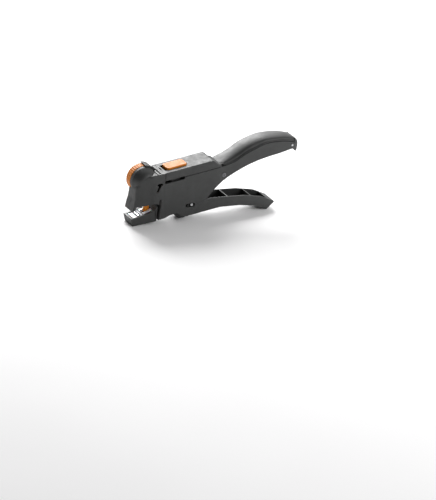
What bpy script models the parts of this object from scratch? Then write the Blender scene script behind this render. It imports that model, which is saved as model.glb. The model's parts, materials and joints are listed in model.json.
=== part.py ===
"""Ferrule cutting, stripping and crimping hand tool, as an assembly of its separate pieces.

Every outline is drawn in the tool's own side view: x runs from the nose to the tail, z runs up from the
lower jaw's underside, and y runs from the left side (-) to the right side (+). The empty "tool" carries
all the pieces and stands them on the floor, on the lower jaw's front edge and the lower handle's tip.
Lengths are in millimetres in the tables below and become metres through MM.
"""

import math

import bmesh
import bpy
from mathutils import Matrix, Vector

MM = 0.001
GAP = 0.3                    # between pieces that touch
SEAM = 0.6                   # the visible groove between the covers

# Overall sizes
BODY_WIDTH = 25.6
NOSE_WIDTH = 17.0
BODY_TOP = 56.0
GROOVE_Z = 45.5              # parting line between the housings and the top cover
HEAD_END = 38.5              # where the top cover starts
COVER_END = 108.0
GRIP_LENGTH = 99.0           # from the cover's end to the tail
WALL = 2.2
EDGE = 0.9                   # rounding of the housings' long edges

# Lower handle
HANDLE_SIDE_GAP = 0.35       # between the handle's root and the housings' walls
HANDLE_WIDTH = BODY_WIDTH - 2 * (WALL + HANDLE_SIDE_GAP)
HANDLE_WALL = 1.5
HANDLE_FLOOR = 2.0
HANDLE_SQUEEZE = 24.0        # degrees
HANDLE_PIVOT = (67.0, 1.0)
DRIVE_PIN_AT = (71.0, 9.5)
CRANK_PIN_AT = (68.2, 4.4)

# Jaws
JAW_WIDTH = 17.0
JAW_WALL = 1.8
JAW_SWING = 10.8             # degrees, for a full squeeze
JAW_PIVOT = (42.0, 18.0)
JAW_PIN_AT = (43.0, 10.0)
LINK_STROKE = 1.5            # travel of the drive link, for a full squeeze
THROAT_HALF = 5.4            # opening in the head's underside

# Pins, screws and plates
PIVOT_R = 2.0
DRIVE_R = 1.7
LINK_R = 1.2
PLATE_INNER = 6.3
PLATE_THICK = 2.0
CRANK_INNER = 3.6
CRANK_THICK = 2.0
LINK_HALF = 2.6
SCREW_HEAD_R = 2.5
SCREW_HEAD_H = 1.4
SCREW_SUNK = 0.35
SCREW_R = 1.3
BOSS_R = 3.4
SCREWS = {"rear_screw": (111.2, 35.0, -1), "front_screw": (50.0, 35.5, 1), "middle_screw": (92.0, 33.0, 1)}
TAIL_PIN_AT = (197.6, 47.6)

# Selector wheel
WHEEL_AT = (18.5, 48.0)
WHEEL_R = 15.2
WHEEL_Y = (3.6, 11.4)
WHEEL_RIBS = 30
GUARD_R = WHEEL_R - 0.4      # round guard that covers the wheel's inner face
HOOD_R = WHEEL_R + 1.6       # hood over the wheel's upper rear
RIB_DEPTH = 0.5
AXLE_R = 2.4

# Feed button and magazine
BUTTON_LENGTH = 24.8
BUTTON_WIDTH = 13.5
BUTTON_FRONT = 44.3
BUTTON_TRAVEL = 2.5
BUTTON_PROUD = 1.9
RAIL_HALF = 4.6

# Ratchet and springs
RATCHET_R = 21.5
TOOTH_DEPTH = 1.4
TEETH = 9
PAWL_ANGLE = 108.0
PAWL_PIVOT = (50.5, 26.5)
LATCH_PIVOT = (59.2, 1.4)
SPRING_AT_X = 81.0
SPRING_R = 4.2
WIRE_R = 0.55

GRAPHITE = ("graphite_plastic", (0.075, 0.080, 0.080), 0.55, 0.0)
BLACK = ("black_plastic", (0.015, 0.016, 0.017), 0.5, 0.0)
SOFT = ("soft_rubber", (0.040, 0.042, 0.042), 0.75, 0.0)
ORANGE = ("orange_plastic", (0.80, 0.24, 0.03), 0.4, 0.0)
CLEAR = ("clear_plastic", (0.85, 0.87, 0.88), 0.2, 0.0)
STEEL = ("steel", (0.55, 0.55, 0.56), 0.3, 1.0)
DARK_STEEL = ("dark_steel", (0.16, 0.16, 0.17), 0.4, 1.0)


# ---------------------------------------------------------------- scene and materials

def clear_scene():
    for obj in list(bpy.data.objects):
        bpy.data.objects.remove(obj)


def collection(name):
    made = bpy.data.collections.new(name)
    bpy.context.scene.collection.children.link(made)
    return made


def material(look):
    name, colour, roughness, metallic = look
    found = bpy.data.materials.get(name)
    if found:
        return found
    made = bpy.data.materials.new(name)
    made.use_nodes = True
    shader = made.node_tree.nodes["Principled BSDF"]
    shader.inputs["Base Color"].default_value = (*colour, 1.0)
    shader.inputs["Roughness"].default_value = roughness
    shader.inputs["Metallic"].default_value = metallic
    return made


# ---------------------------------------------------------------- outlines

def rounded(corners, steps=2):
    """Corners are (x, z, radius); each becomes an arc of `steps` pieces."""
    out = []
    count = len(corners)
    for i, (x, z, radius) in enumerate(corners):
        here = Vector((x, z))
        before = Vector(corners[i - 1][:2]) - here
        after = Vector(corners[(i + 1) % count][:2]) - here
        if radius <= 0:
            out.append((x, z))
            continue
        half = before.angle(after) / 2
        reach = min(radius / math.tan(half), 0.48 * before.length, 0.48 * after.length)
        radius = reach * math.tan(half)
        if math.pi - 2 * half < 0.02:
            out.append((x, z))
            continue
        start = here + before.normalized() * reach
        end = here + after.normalized() * reach
        centre = here + (before.normalized() + after.normalized()).normalized() * (radius / math.sin(half))
        first, last = start - centre, end - centre
        sweep = first.angle_signed(last)
        for step in range(steps + 1):
            turned = Matrix.Rotation(-sweep * step / steps, 2) @ first
            out.append(tuple(centre + turned))
    return out


def smooth(points, steps=2):
    """A Catmull-Rom curve through the points, ends included."""
    pts = [Vector(p) for p in points]
    pts = [2 * pts[0] - pts[1], *pts, 2 * pts[-1] - pts[-2]]
    out = []
    for a, b, c, d in zip(pts, pts[1:], pts[2:], pts[3:]):
        for step in range(steps):
            t = step / steps
            out.append(tuple(0.5 * (2 * b + (c - a) * t + (2 * a - 5 * b + 4 * c - d) * t**2
                                    + (3 * b - a - 3 * c + d) * t**3)))
    return [*out, tuple(pts[-2])]


def circle(at, radius, count=16, start=0.0):
    return [(at[0] + radius * math.cos(start + math.tau * i / count),
             at[1] + radius * math.sin(start + math.tau * i / count)) for i in range(count)]


def capsule(a, b, radius, steps=5):
    """The outline of a slot with round ends, from a to b."""
    along = math.atan2(b[1] - a[1], b[0] - a[0])
    out = []
    for at, start in ((b, along - math.pi / 2), (a, along + math.pi / 2)):
        out += [(at[0] + radius * math.cos(start + math.pi * i / steps),
                 at[1] + radius * math.sin(start + math.pi * i / steps)) for i in range(steps + 1)]
    return out


def rectangle(x0, z0, x1, z1):
    return [(x0, z0), (x1, z0), (x1, z1), (x0, z1)]


def turned_about(point, pivot, degrees):
    angle = math.radians(degrees)
    x, z = point[0] - pivot[0], point[1] - pivot[1]
    return (pivot[0] + x * math.cos(angle) - z * math.sin(angle),
            pivot[1] + x * math.sin(angle) + z * math.cos(angle))


def height_on(edge, x):
    for (x0, z0), (x1, z1) in zip(edge, edge[1:]):
        if x0 <= x <= x1:
            return z0 + (z1 - z0) * (x - x0) / (x1 - x0)
    return edge[0][1] if x < edge[0][0] else edge[-1][1]


# ---------------------------------------------------------------- making solids

def add(name, mesh, look=None, bevel=0.0):
    """Puts a mesh in the tool as a named piece, or as a cutter when it has no look."""
    obj = bpy.data.objects.new(name, mesh)
    (pieces if look else cutters).objects.link(obj)
    obj.parent = tool
    if look:
        mesh.materials.append(material(look))
    else:
        obj.hide_render = True
        obj.display_type = "WIRE"
    if bevel:
        modifier = obj.modifiers.new("Edges", "BEVEL")
        modifier.width = bevel * MM
        modifier.segments = 1
        modifier.use_clamp_overlap = False
        modifier.limit_method = "ANGLE"
        modifier.angle_limit = math.radians(50)
    return obj


def flat_mesh(name, points, low, high):
    """A filled 2D curve, extruded from low to high along its normal, as a closed mesh."""
    curve = bpy.data.curves.new(name, "CURVE")
    curve.dimensions = "2D"
    curve.fill_mode = "BOTH"
    curve.extrude = (high - low) / 2 * MM
    spline = curve.splines.new("POLY")
    spline.points.add(len(points) - 1)
    for spot, (u, v) in zip(spline.points, points):
        spot.co = (u * MM, v * MM, 0, 1)
    spline.use_cyclic_u = True
    holder = bpy.data.objects.new(name, curve)
    cutters.objects.link(holder)
    bpy.context.view_layer.update()
    evaluated = holder.evaluated_get(bpy.context.evaluated_depsgraph_get())
    mesh = bpy.data.meshes.new_from_object(evaluated)
    bpy.data.objects.remove(holder)
    mesh.transform(Matrix.Translation((0, 0, (low + high) / 2 * MM)))
    shape = bmesh.new()
    shape.from_mesh(mesh)
    bmesh.ops.remove_doubles(shape, verts=shape.verts, dist=1e-6)
    bmesh.ops.dissolve_limit(shape, angle_limit=math.radians(0.5), verts=shape.verts, edges=shape.edges)
    bmesh.ops.recalc_face_normals(shape, faces=shape.faces)
    shape.to_mesh(mesh)
    shape.free()
    return mesh


def prism(name, points, y0, y1, look=None, bevel=0.0):
    """A side-view outline in (x, z), extruded from y0 to y1."""
    mesh = flat_mesh(name, points, -y1, -y0)
    mesh.transform(Matrix.Rotation(math.pi / 2, 4, "X"))
    return add(name, mesh, look, bevel)


def plan(name, points, z0, z1, look=None, bevel=0.0):
    """A top-view outline in (x, y), extruded from z0 to z1."""
    return add(name, flat_mesh(name, points, z0, z1), look, bevel)


def block(name, low, high, look=None, bevel=0.0):
    shape = bmesh.new()
    bmesh.ops.create_cube(shape, size=1.0)
    size = [h - l for l, h in zip(low, high)]
    middle = [(h + l) / 2 for l, h in zip(low, high)]
    bmesh.ops.transform(shape, verts=shape.verts, matrix=Matrix.Translation(Vector(middle) * MM)
                        @ Matrix.Diagonal((*[s * MM for s in size], 1.0)))
    mesh = bpy.data.meshes.new(name)
    shape.to_mesh(mesh)
    shape.free()
    return add(name, mesh, look, bevel)


def turned(name, at, profile, look=None, steps=14):
    """A profile of (radius, y) points, from its +y end to its -y end, turned about a y axis through `at`."""
    mesh = bpy.data.meshes.new(name)
    shape = bmesh.new()
    ring = profile[0] == profile[-1]
    verts = [shape.verts.new((radius * MM, 0, y * MM)) for radius, y in (profile[:-1] if ring else profile)]
    verts += verts[:1] if ring else []
    for a, b in zip(verts, verts[1:]):
        shape.edges.new((a, b))
    shape.to_mesh(mesh)
    shape.free()
    obj = add(name, mesh, look)
    obj.location = (at[0] * MM, 0, at[1] * MM)
    obj.rotation_euler = (-math.pi / 2, 0, 0)
    screw = obj.modifiers.new("Turn", "SCREW")
    screw.axis = "Z"
    screw.steps = steps
    screw.render_steps = steps
    screw.use_merge_vertices = True
    screw.merge_threshold = 1e-5
    return obj


def pin(name, at, radius, y0, y1, look=STEEL, chamfer=0.3):
    profile = [(0, y1), (radius - chamfer, y1), (radius, y1 - chamfer), (radius, y0 + chamfer),
               (radius - chamfer, y0), (0, y0)]
    return turned(name, at, profile, look)


def drill(name, at, radius, y0, y1):
    return prism(name, circle(at, radius), y0, y1)


def combine(target, other, operation="DIFFERENCE"):
    modifier = target.modifiers.new(operation.title(), "BOOLEAN")
    modifier.operation = operation
    modifier.solver = "EXACT"
    modifier.object = other


# ---------------------------------------------------------------- shared outlines

HALF = BODY_WIDTH / 2
INNER = HALF - WALL
NOSE = NOSE_WIDTH / 2
TAIL = COVER_END + GRIP_LENGTH
CAP_START = TAIL - 5.5
HOLLOW_END = TAIL - 14.0     # the housings are solid behind this, around the tail pin


def on_grip(points):
    """Points given as (share of the grip's length, z)."""
    return [(COVER_END + share * GRIP_LENGTH, z) for share, z in points]


GROOVE = [(COVER_END - 2, GROOVE_Z),
          *smooth(on_grip([(0.06, 45.5), (0.19, 47.8), (0.31, 53.0), (0.45, 56.6), (0.58, 58.7),
                           (0.75, 56.7), (0.88, 52.6), (0.95, 49.4)]))]
GRIP_TOP = smooth(on_grip([(0.02, 48.8), (0.10, 51.5), (0.22, 56.1), (0.34, 61.2), (0.46, 63.7), (0.58, 64.4),
                           (0.71, 62.8), (0.84, 60.0), (0.91, 57.2), (0.955, 54.0)]))
GRIP_UNDERSIDE = [(88.3, 10.7), (95.7, 17.9), (105.7, 25.5),
                  *on_grip([(0.10, 31.3), (0.23, 35.9), (0.35, 39.2), (0.48, 41.3), (0.60, 42.2), (0.73, 42.5),
                            (0.88, 43.1), (0.95, 42.6)])]
HEAD_CORNERS = [(HEAD_END, BODY_TOP, 0), (13.0, BODY_TOP, 9), (5.0, 44.5, 14), (3.6, 30.5, 10), (-0.1, 17.3, 0),
                (2.2, 17.3, 0), (5.3, 22.1, 1.0), (26.0, 22.1, 3.0), (30.2, 20.6, 0), (31.4, 26.2, 0.6),
                (33.4, 26.2, 0.6), (33.2, 20.0, 4.0), (31.2, 12.0, 6.0), (29.6, 1.8, 0), (37.5, 1.9, 4.0),
                (43.7, 3.9, 4.0), (52.4, 4.0, 2.0), (58.0, -1.0, 3.0), (66.0, -3.4, 4.0), (74.7, 2.2, 6.0)]
HEAD_CAVITY = [(HEAD_END + WALL, 43.3, 0.5), (36.0, 50.0, 0.5), (19.5, 50.0, 4), (11.0, 45.5, 6), (6.8, 31.8, 8),
               (4.9, 24.4, 0.5), (26.5, 24.4, 1.0), (30.0, 28.4, 0.5), (36.0, 28.4, 0.5), (35.6, 20.0, 3.0),
               (33.6, 12.0, 3.0), (32.3, 4.2, 0.5), (37.0, 4.2, 2.0), (43.2, 6.2, 2.0), (53.0, 5.8, 1.0),
               (58.6, -6.0, 0.5), (75.0, -6.0, 0.5)]


def housing_outline():
    underside = smooth(GRIP_UNDERSIDE)
    top = list(reversed(GROOVE))
    return [*rounded(HEAD_CORNERS), *underside, *top, (HEAD_END, GROOVE_Z)]


def cavity_outline():
    """The hollow inside the two housings, open below over the lower handle's root and open above under
    the top cover."""
    open_until = COVER_END - 1.0
    roof = GROOVE_Z + 5
    below = [(88.0, 4.0), (open_until, 24.0), (open_until, 30.5)]
    grip = [(x, z + WALL) for x, z in GRIP_UNDERSIDE if COVER_END + 8 < x < HOLLOW_END]
    back = [(x, z - WALL) for x, z in reversed(GROOVE) if COVER_END + 8 < x < HOLLOW_END]
    return [*rounded(HEAD_CAVITY), *below, *grip, *back, (COVER_END + 2, GROOVE_Z - WALL),
            (open_until - 4, GROOVE_Z - WALL), (open_until - 4, roof), (HEAD_END + WALL, roof)]


WIDTHS = [(-6.0, NOSE), (4.0, NOSE + 0.2), (12.0, NOSE + 1.7), (22.0, HALF - 1.0), (31.0, HALF),
          (COVER_END - 10, HALF), (COVER_END + 6, HALF - 1.0), (COVER_END + 40, HALF - 0.6),
          (COVER_END + 72, HALF - 1.2), (TAIL - 9, HALF - 2.6), (TAIL - 3, HALF - 5.0), (TAIL + 1, HALF - 7.5)]


def body_prism(name, points, inset=0.0, look=None, bevel=0.0):
    """A side-view outline as wide as the tool is along its length: a narrow nose, a parallel body and a grip
    that rounds off at the tail."""
    mesh = flat_mesh(name, points, -HALF, HALF)
    mesh.transform(Matrix.Rotation(math.pi / 2, 4, "X"))
    shape = bmesh.new()
    shape.from_mesh(mesh)
    for x, _ in WIDTHS[1:-1]:
        geometry = [*shape.verts, *shape.edges, *shape.faces]
        bmesh.ops.bisect_plane(shape, geom=geometry, plane_co=(x * MM, 0, 0), plane_no=(1, 0, 0), dist=1e-6)
    for vert in shape.verts:
        width = height_on(WIDTHS, vert.co.x / MM) - inset
        vert.co.y = math.copysign(width * MM, vert.co.y)
    shape.to_mesh(mesh)
    shape.free()
    return add(name, mesh, look, bevel)


# ---------------------------------------------------------------- housings and covers

def cavity_cutter():
    cavity = body_prism("housing_cavity", cavity_outline(), WALL)
    for name, (x, z, _) in SCREWS.items():
        combine(cavity, prism(name + "_boss", circle((x, z), BOSS_R), -HALF, HALF))
    return cavity


def housing(name, side, own_cuts, hood=None):
    """One half shell: side -1 is the left, +1 the right."""
    shell = body_prism(name, housing_outline(), 0.0, GRAPHITE, EDGE)
    guard = prism(name + "_guard", circle(WHEEL_AT, GUARD_R, 32, 0.04), -3.0, WHEEL_Y[0] + 0.4)
    combine(shell, guard, "UNION")
    if hood:
        combine(shell, hood, "UNION")
    far = sorted((-side * (HALF + 2), side * GAP / 2))
    combine(shell, block(name + "_other_half", (-10, far[0], -20), (TAIL + 10, far[1], BODY_TOP + 20)))
    for cutter in [*own_cuts, shared["cavity"], *shared["cuts"]]:
        combine(shell, cutter)
    for screw, (x, z, head_side) in SCREWS.items():
        if head_side == side:
            depth = sorted((side * (HALF - SCREW_SUNK - SCREW_HEAD_H - GAP), side * (HALF + 1)))
            combine(shell, drill(name + screw + "_seat", (x, z), SCREW_HEAD_R + GAP, *depth))
        through = sorted((-side * 1.0, side * (HALF - (0 if head_side == side else 3.0))))
        combine(shell, drill(name + screw + "_hole", (x, z), SCREW_R + GAP, *through))
    return shell


def shared_cuts():
    """Openings that both housings have."""
    reach = HALF + 1
    near_pin = (DRIVE_PIN_AT[0] + 1.4, DRIVE_PIN_AT[1] - 0.2)
    far_pin = turned_about(DRIVE_PIN_AT, HANDLE_PIVOT, HANDLE_SQUEEZE)
    long_slot = capsule((HEAD_END + 1.0, GROOVE_Z - 0.3), (61.0, GROOVE_Z - 0.3), 1.5, 4)
    return [
        prism("drive_slot", capsule((far_pin[0] - 2.0, far_pin[1]), near_pin, DRIVE_R + 0.5), -reach, reach),
        prism("feed_window", long_slot, -reach, reach),
        prism("jaw_passage", rectangle(28.5, 5.0, 37.0, 25.0), -THROAT_HALF - 0.4, THROAT_HALF + 0.4),
        prism("throat", rectangle(7.0, 20.0, 28.5, 26.0), -THROAT_HALF, THROAT_HALF),
        block("top_slot_rear", (33.2, -HALF + 2.6, 51.4), (34.9, HALF - 2.6, BODY_TOP + 2)),
        block("cap_room", (CAP_START - GAP, -reach, 0), (TAIL + 5, reach, BODY_TOP + 20)),
        drill("tail_pin_hole", TAIL_PIN_AT, SCREW_R + GAP, -reach, reach),
    ]


def make_housings():
    swept = rounded([(27.0, 35.2, 0.6), (29.4, 35.4, 0.6), (33.4, 41.8, 1.0), (35.6, 43.0, 0.6),
                     (34.8, 45.3, 0.8), (30.0, 45.8, 1.0), (28.2, 44.0, 0.8), (30.2, 42.4, 0.8)])
    housing("left_housing", -1, [
        prism("swept_slot", swept, -HALF - 1, -HALF + WALL + 2),
        block("top_slot_front", (29.6, -HALF + 2.2, 52.6), (30.8, -0.4, BODY_TOP + 2)),
        drill("axle_hole_left", WHEEL_AT, AXLE_R + GAP, -3.2, 0),
    ])
    arc = [math.radians(80.0 - 58.0 * i / 10) for i in range(11)]
    rim = [(WHEEL_AT[0] + HOOD_R * math.cos(a), WHEEL_AT[1] + HOOD_R * math.sin(a)) for a in arc]
    housing("right_housing", 1, [
        prism("wheel_bay", circle(WHEEL_AT, WHEEL_R + 0.5, 36, 0.07), WHEEL_Y[0] - 0.5, HALF + 3),
        drill("axle_hole_right", WHEEL_AT, AXLE_R + GAP, 0, WHEEL_Y[0] + 1),
    ], prism("wheel_hood", [(24.0, 50.0), *reversed(rim)], 0.6, WHEEL_Y[1] + 0.5))


def make_top_cover():
    ramp = 6.5
    outline = rounded([(HEAD_END + GAP, GROOVE_Z + SEAM, 0), (HEAD_END + GAP, BODY_TOP, 0.3),
                       (COVER_END - ramp - 3, BODY_TOP, 3.0), (COVER_END - 3.4, 49.6, 3.0),
                       (COVER_END, 48.4, 0.3), (COVER_END, GROOVE_Z + SEAM, 0.3)])
    cover = body_prism("top_cover", outline, 0.0, GRAPHITE, EDGE)
    inside = rounded([(HEAD_END + WALL, GROOVE_Z - 2, 0), (HEAD_END + WALL, BODY_TOP - 2, 0.5),
                      (COVER_END - ramp - 4, BODY_TOP - 2, 2.0), (COVER_END - 6.0, 48.6, 2.0),
                      (COVER_END - 5.0, GROOVE_Z - 2, 0)])
    combine(cover, body_prism("cover_cavity", inside, WALL))
    front = BUTTON_FRONT - BUTTON_TRAVEL - GAP
    back = BUTTON_FRONT + BUTTON_LENGTH + GAP
    half = BUTTON_WIDTH / 2 + GAP
    slot = rounded([(front, -half, 1.5), (back, -half, 2.8), (back, half, 2.8), (front, half, 1.5)])
    combine(cover, plan("button_slot", slot, BODY_TOP - 4, BODY_TOP + 2))
    combine(cover, shared["cuts"][1])
    vent = block("cover_vent", (HEAD_END - 1, -2.6, BODY_TOP - 1.4), (HEAD_END + 1.3, 3.4, BODY_TOP + 1))
    combine(cover, vent)


def make_grip_and_cap():
    start = COVER_END + GAP
    under = [(x, z + SEAM) for x, z in GROOVE if x > start]
    top = [(x, z) for x, z in GRIP_TOP if x < CAP_START - GAP]
    outline = [(start, GROOVE_Z + SEAM), *under, *reversed(top), (start, 48.4)]
    grip = body_prism("soft_grip", outline, 0.0, SOFT, EDGE)
    combine(grip, block("grip_end", (CAP_START - GAP, -20, 0), (TAIL + 20, 20, 90)))
    end = [(CAP_START, 42.0), (CAP_START + 0.2, 39.2), (CAP_START + 2.0, 38.6), (CAP_START + 3.8, 40.6),
           (TAIL - 0.4, 45.0), (TAIL - 1.0, 49.4), (TAIL - 3.0, 52.6), (CAP_START, 55.0)]
    body_prism("end_cap", smooth(end), 0.0, BLACK, 0.5)
    pin("tail_pin", TAIL_PIN_AT, SCREW_R, -(HALF - 2.3), HALF - 2.3)


# ---------------------------------------------------------------- steel frame

def make_frame():
    outline = rounded([(36.6, 30.0, 2), (36.6, 9.0, 2), (46.0, 9.0, 2), (54.5, 8.2, 2), (56.6, 0.4, 1),
                       (62.0, -2.0, 3), (71.5, -2.0, 3), (76.5, 11.0, 3), (87.0, 11.5, 2), (87.0, 27.0, 3),
                       (62.0, 31.0, 3)])
    pin_end = turned_about(DRIVE_PIN_AT, HANDLE_PIVOT, HANDLE_SQUEEZE)
    for name, side in (("frame_plate_left", -1), ("frame_plate_right", 1)):
        faces = sorted((side * PLATE_INNER, side * (PLATE_INNER + PLATE_THICK)))
        plate = prism(name, outline, *faces, DARK_STEEL)
        for hole, at, radius in (("_jaw_hole", JAW_PIVOT, PIVOT_R), ("_handle_hole", HANDLE_PIVOT, PIVOT_R),
                                 ("_pawl_hole", PAWL_PIVOT, LINK_R), ("_latch_hole", LATCH_PIVOT, LINK_R)):
            combine(plate, drill(name + hole, at, radius + GAP, -12, 12))
        combine(plate, prism(name + "_slot", capsule(pin_end, DRIVE_PIN_AT, DRIVE_R + 0.5), -12, 12))
    reach = PLATE_INNER - GAP
    bridge = block("spring_bridge", (76.6, -reach, 12.4), (86.0, reach, 14.6), DARK_STEEL, 0.3)
    post = turned("bridge_post", (SPRING_AT_X, 0), [(0, 0), (2.6, 0), (2.6, -3.0), (0, -3.0)], steps=16)
    post.rotation_euler = (0, 0, 0)
    post.location = (SPRING_AT_X * MM, 0, 12.6 * MM)
    combine(bridge, post, "UNION")
    outer = PLATE_INNER + PLATE_THICK
    pin("jaw_pivot_pin", JAW_PIVOT, PIVOT_R, -outer - 0.8, outer + 0.8)
    pin("handle_pivot_pin", HANDLE_PIVOT, PIVOT_R, -INNER + GAP, INNER - GAP)
    pin("pawl_pin", PAWL_PIVOT, LINK_R, -outer + 0.1, outer - 0.1)


# ---------------------------------------------------------------- lower jaw and what it carries

def make_lower_jaw():
    half = JAW_WIDTH / 2
    outline = rounded([(0.0, 0.0, 0.8), (26.4, 0.0, 1.5), (27.3, 2.6, 1.0), (29.2, 12.3, 3.0), (30.1, 17.3, 0),
                       (28.0, 17.0, 0), (27.4, 14.8, 1.0), (24.6, 12.7, 3.0), (15.2, 10.7, 6.0), (2.5, 9.2, 0.8),
                       (-2.1, 9.3, 0.6)])
    jaw = prism("lower_jaw", outline, -half, half, BLACK, 0.4)
    pocket = rounded([(1.2, JAW_WALL, 0.5), (25.2, JAW_WALL, 1.0), (26.0, 20.0, 0.5), (0.2, 20.0, 0.5)])
    combine(jaw, prism("jaw_pocket", pocket, -half + JAW_WALL, half - JAW_WALL))
    arm_half = THROAT_HALF - 0.4
    arm = rounded([(25.6, 5.6, 0.5), (38.0, 7.4, 3.0), (41.0, 7.2, 2.5), (46.0, 7.2, 3.0), (47.0, 17.0, 4.0),
                   (45.0, 22.4, 4.0), (38.0, 22.4, 4.0), (31.0, 14.6, 3.0), (27.0, 12.0, 1.0)])
    combine(jaw, prism("jaw_arm", arm, -arm_half, arm_half), "UNION")
    combine(jaw, prism("jaw_fork", rectangle(36.0, 3.0, 50.0, 14.2), -LINK_HALF - GAP, LINK_HALF + GAP))
    combine(jaw, drill("jaw_pivot_hole", JAW_PIVOT, PIVOT_R + GAP, -12, 12))
    combine(jaw, drill("jaw_link_hole", JAW_PIN_AT, LINK_R + GAP, -12, 12))
    pin("jaw_link_pin", JAW_PIN_AT, LINK_R, -arm_half, arm_half, chamfer=0.2)

    inner = half - JAW_WALL - GAP
    block("lower_blade", (8.0, -inner, JAW_WALL + GAP), (9.2, inner, 10.5), STEEL)
    die = block("lower_die", (10.6, -inner, JAW_WALL + GAP), (14.2, inner, 10.5), DARK_STEEL, 0.2)
    combine(die, prism("die_groove", circle((12.4, 11.7), 1.9), -20, 20))
    block("front_insert", (1.9, -inner, JAW_WALL + GAP), (7.5, inner, 9.2), CLEAR, 0.3)
    outline = rounded([(14.8, JAW_WALL + GAP, 0.4), (24.6, JAW_WALL + GAP, 0.4), (25.3, 13.6, 1.0),
                       (14.8, 10.2, 0.5)])
    guide = prism("wire_guide", outline, -inner, inner, CLEAR)
    combine(guide, block("guide_channel", (10, -3.0, JAW_WALL + 1.5), (30, 3.0, 20)))


def make_drive_link():
    bar_half = LINK_HALF - 0.6
    link = prism("drive_link", capsule(JAW_PIN_AT, CRANK_PIN_AT, 1.3), -bar_half, bar_half, STEEL)
    for eye, at in (("front", JAW_PIN_AT), ("rear", CRANK_PIN_AT)):
        combine(link, prism(f"link_{eye}_eye", circle(at, 2.6), -LINK_HALF, LINK_HALF), "UNION")
    combine(link, drill("link_front_hole", JAW_PIN_AT, LINK_R + 0.5, -5, 5))
    combine(link, drill("link_rear_hole", CRANK_PIN_AT, LINK_R + 0.5, -5, 5))
    px, pz = HANDLE_PIVOT
    combine(link, prism("link_relief", capsule((px, pz), (px + LINK_STROKE + 0.1, pz), PIVOT_R + 0.35), -5, 5))


# ---------------------------------------------------------------- lower handle and what it carries

HANDLE_BOTTOM = [(70.0, -4.4), (82.0, -4.2), (107.0, -4.2), (132.0, -8.5), (152.0, -14.8), (165.3, -22.5)]
HANDLE_TOP = [(78.0, 12.0), (92.0, 10.5), (113.0, 7.0), (138.0, 2.0), (159.0, -5.0), (176.0, -15.4)]


def make_lower_handle():
    half = HANDLE_WIDTH / 2
    px, pz = HANDLE_PIVOT
    dx, dz = DRIVE_PIN_AT
    nose = [(px + 1.0, pz - 4.4, 3), (px - 4.4, pz - 3.6, 3.4), (px - 4.0, pz + 4.0, 3), (dx - 3.6, dz + 0.6, 2),
            (dx - 1.6, dz + 3.6, 2)]
    corners = [*nose, *[(x, z, 6) for x, z in HANDLE_TOP[:-1]], (*HANDLE_TOP[-1], 1.0),
               *[(x, z, 8) for x, z in reversed(HANDLE_BOTTOM)]]
    corners = [(x, z, 1.5) if (x, z) == HANDLE_BOTTOM[-1] else (x, z, r) for x, z, r in corners]
    handle = prism("lower_handle", rounded(corners), -half, half, GRAPHITE, 0.7)
    inner = half - HANDLE_WALL
    ribs = (117.0, 146.0)
    rib = 0.8
    starts = (40.0, ribs[0] + rib, ribs[1] + rib)
    ends = (ribs[0] - rib, ribs[1] - rib, 166.0)
    for i, (x0, x1) in enumerate(zip(starts, ends)):
        inside = [x for x, _ in HANDLE_BOTTOM if x0 < x < x1 and x > 80]
        floor = [(x, height_on(HANDLE_BOTTOM, x) + HANDLE_FLOOR) for x in ([x0] if i else []) + inside + [x1]]
        if i == 0:
            floor = [(x0, -12.0), (77.0, -12.0), (77.0, floor[0][1]), *floor]
        combine(handle, prism(f"channel_{i}", [*floor, (x1, 40.0), (x0, 40.0)], -inner, inner))
    combine(handle, drill("handle_pivot_hole", HANDLE_PIVOT, PIVOT_R + GAP, -20, 20))
    combine(handle, drill("handle_drive_hole", DRIVE_PIN_AT, DRIVE_R + GAP, -20, 20))
    pin("drive_pin", DRIVE_PIN_AT, DRIVE_R, -HALF + 0.5, HALF - 0.5)
    pin("crank_pin", CRANK_PIN_AT, LINK_R, -CRANK_INNER - CRANK_THICK, CRANK_INNER + CRANK_THICK, chamfer=0.2)


def crank(name, outline, side):
    faces = sorted((side * CRANK_INNER, side * (CRANK_INNER + CRANK_THICK)))
    plate = prism(name, outline, *faces, STEEL)
    for hole, at, radius in (("_pivot", HANDLE_PIVOT, PIVOT_R), ("_drive", DRIVE_PIN_AT, DRIVE_R),
                             ("_crank", CRANK_PIN_AT, LINK_R)):
        combine(plate, drill(name + hole, at, radius + GAP, -12, 12))
    return plate


def make_cranks():
    px, pz = HANDLE_PIVOT
    dx, dz = DRIVE_PIN_AT
    hub = [(px + 4.2, pz - 1.0, 2.5), (px + 1.0, pz - 4.0, 3.5), (px - 4.0, pz - 2.4, 3.5),
           (px - 3.4, pz + 4.0, 3)]
    crank("crank_plate", rounded([*hub, (dx - 2.8, dz + 3.2, 2.5), (dx + 3.2, dz + 3.0, 2.5)]), -1)
    span = HANDLE_SQUEEZE + 2
    teeth = []
    for i in range(TEETH):
        first = math.radians(PAWL_ANGLE - 2 - span * i / TEETH)
        root = math.radians(PAWL_ANGLE - 2 - span * (i + 0.85) / TEETH)
        for angle, radius in ((first, RATCHET_R), (root, RATCHET_R - TOOTH_DEPTH)):
            teeth.append((px + radius * math.cos(angle), pz + radius * math.sin(angle)))
    sector = [*rounded([*hub, (px - 3.6, pz + 8.0, 2)])[:-1], *teeth, (dx + 3.4, dz + 2.0)]
    crank("ratchet_sector", sector, 1)


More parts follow.
